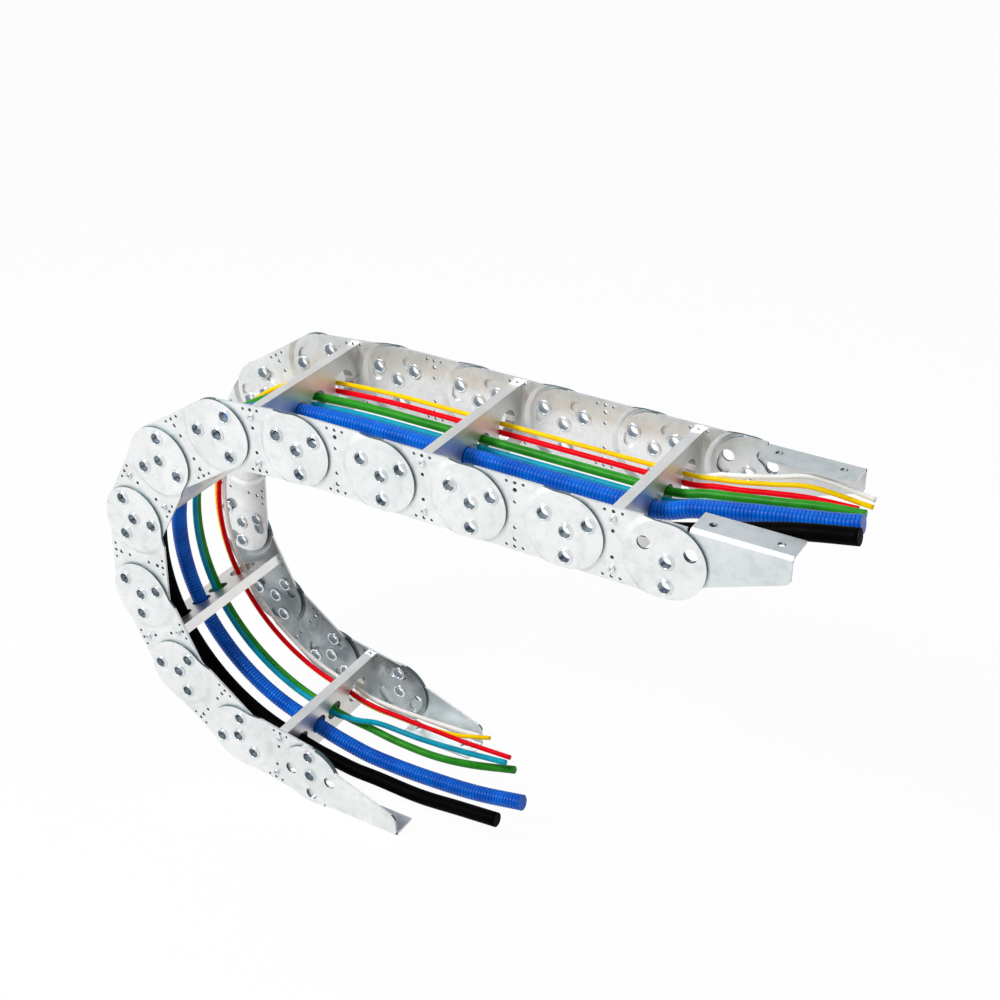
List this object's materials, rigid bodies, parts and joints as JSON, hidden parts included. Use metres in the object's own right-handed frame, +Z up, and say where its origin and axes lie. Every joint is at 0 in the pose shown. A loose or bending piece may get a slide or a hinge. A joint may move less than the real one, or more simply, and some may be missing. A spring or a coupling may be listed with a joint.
{
  "type": "steel cable drag chain",
  "caption": "Steel cable drag chain curved back over itself, with joggled link plates on hollow rivets, divider bars, end brackets and coloured hoses.",
  "frame": {"origin": "centre of the bounding box at its lowest level, on the surface that the base bracket stands on", "axes": "+X from the curve towards the open ends, +Y across the chain, +Z up"},
  "size_m": [1.0392, 0.2344, 0.6412],
  "materials": {
    "zinc_sheet": "satin zinc plating",
    "rivet_steel": "bright plated",
    "screw_steel": "bright plated",
    "bar_aluminium": "milled",
    "hose_black": "smooth, slightly glossy",
    "hose_blue": "corrugated, glossy",
    "hose_green": "smooth, glossy",
    "hose_teal": "smooth, glossy",
    "hose_red": "smooth, glossy",
    "hose_yellow": "smooth, glossy",
    "hose_white": "smooth, satin"
  },
  "bodies": {
    "base": {"lower_bracket_left": "zinc_sheet", "lower_bracket_right": "zinc_sheet", "lower_bracket_rivets": "rivet_steel", "hose_black": "hose_black", "hose_blue": "hose_blue", "hose_green": "hose_green", "hose_teal": "hose_teal", "hose_red": "hose_red", "hose_yellow": "hose_yellow", "hose_white": "hose_white"},
    "link_11": {"link_11_plate_left": "zinc_sheet", "link_11_plate_right": "zinc_sheet", "link_11_rivets": "rivet_steel", "link_11_crossbar": "bar_aluminium", "link_11_screws": "screw_steel"},
    "link_10": {"link_10_plate_left": "zinc_sheet", "link_10_plate_right": "zinc_sheet", "link_10_rivets": "rivet_steel"},
    "link_09": {"link_09_plate_left": "zinc_sheet", "link_09_plate_right": "zinc_sheet", "link_09_rivets": "rivet_steel", "link_09_crossbar": "bar_aluminium", "link_09_screws": "screw_steel"},
    "link_08": {"link_08_plate_left": "zinc_sheet", "link_08_plate_right": "zinc_sheet", "link_08_rivets": "rivet_steel"},
    "link_07": {"link_07_plate_left": "zinc_sheet", "link_07_plate_right": "zinc_sheet", "link_07_rivets": "rivet_steel", "link_07_crossbar": "bar_aluminium", "link_07_screws": "screw_steel"},
    "link_06": {"link_06_plate_left": "zinc_sheet", "link_06_plate_right": "zinc_sheet", "link_06_rivets": "rivet_steel"},
    "link_05": {"link_05_plate_left": "zinc_sheet", "link_05_plate_right": "zinc_sheet", "link_05_rivets": "rivet_steel", "link_05_crossbar": "bar_aluminium", "link_05_screws": "screw_steel"},
    "link_04": {"link_04_plate_left": "zinc_sheet", "link_04_plate_right": "zinc_sheet", "link_04_rivets": "rivet_steel"},
    "link_03": {"link_03_plate_left": "zinc_sheet", "link_03_plate_right": "zinc_sheet", "link_03_rivets": "rivet_steel", "link_03_crossbar": "bar_aluminium", "link_03_screws": "screw_steel"},
    "link_02": {"link_02_plate_left": "zinc_sheet", "link_02_plate_right": "zinc_sheet", "link_02_rivets": "rivet_steel"},
    "link_01": {"link_01_plate_left": "zinc_sheet", "link_01_plate_right": "zinc_sheet", "link_01_rivets": "rivet_steel", "link_01_crossbar": "bar_aluminium", "link_01_screws": "screw_steel"},
    "moving_end": {"upper_bracket_left": "zinc_sheet", "upper_bracket_right": "zinc_sheet"}
  },
  "joints": [
    {"name": "pivot_12", "type": "hinge", "parent": "base", "child": "link_11", "pos_m": [-0.19609, 0, 0.048], "axis": [0, 1, 0], "range_deg": [-9.9, 17.6], "deforming": ["hose_black", "hose_blue", "hose_green", "hose_teal", "hose_red", "hose_yellow", "hose_white"]},
    {"name": "pivot_11", "type": "hinge", "parent": "link_11", "child": "link_10", "pos_m": [-0.31923, 0, 0.06949], "axis": [0, 1, 0], "range_deg": [-27.5, 0]},
    {"name": "pivot_10", "type": "hinge", "parent": "link_10", "child": "link_09", "pos_m": [-0.41853, 0, 0.14541], "axis": [0, 1, 0], "range_deg": [-27.5, 0]},
    {"name": "pivot_09", "type": "hinge", "parent": "link_09", "child": "link_08", "pos_m": [-0.47156, 0, 0.25861], "axis": [0, 1, 0], "range_deg": [-27.5, 0]},
    {"name": "pivot_08", "type": "hinge", "parent": "link_08", "child": "link_07", "pos_m": [-0.46632, 0, 0.3835], "axis": [0, 1, 0], "range_deg": [-27.5, 0]},
    {"name": "pivot_07", "type": "hinge", "parent": "link_07", "child": "link_06", "pos_m": [-0.40401, 0, 0.49186], "axis": [0, 1, 0], "range_deg": [-27.5, 0]},
    {"name": "pivot_06", "type": "hinge", "parent": "link_06", "child": "link_05", "pos_m": [-0.2987, 0, 0.55921], "axis": [0, 1, 0], "range_deg": [-27.5, 0]},
    {"name": "pivot_05", "type": "hinge", "parent": "link_05", "child": "link_04", "pos_m": [-0.1742, 0, 0.57032], "axis": [0, 1, 0], "range_deg": [-5.1, 22.4]},
    {"name": "pivot_04", "type": "hinge", "parent": "link_04", "child": "link_03", "pos_m": [-0.0492, 0, 0.57032], "axis": [0, 1, 0], "range_deg": [0, 27.5]},
    {"name": "pivot_03", "type": "hinge", "parent": "link_03", "child": "link_02", "pos_m": [0.0758, 0, 0.57032], "axis": [0, 1, 0], "range_deg": [0, 27.5]},
    {"name": "pivot_02", "type": "hinge", "parent": "link_02", "child": "link_01", "pos_m": [0.2008, 0, 0.57032], "axis": [0, 1, 0], "range_deg": [0, 27.5]},
    {"name": "pivot_01", "type": "hinge", "parent": "link_01", "child": "moving_end", "pos_m": [0.3258, 0, 0.57032], "axis": [0, 1, 0], "range_deg": [0, 27.5]}
  ]
}
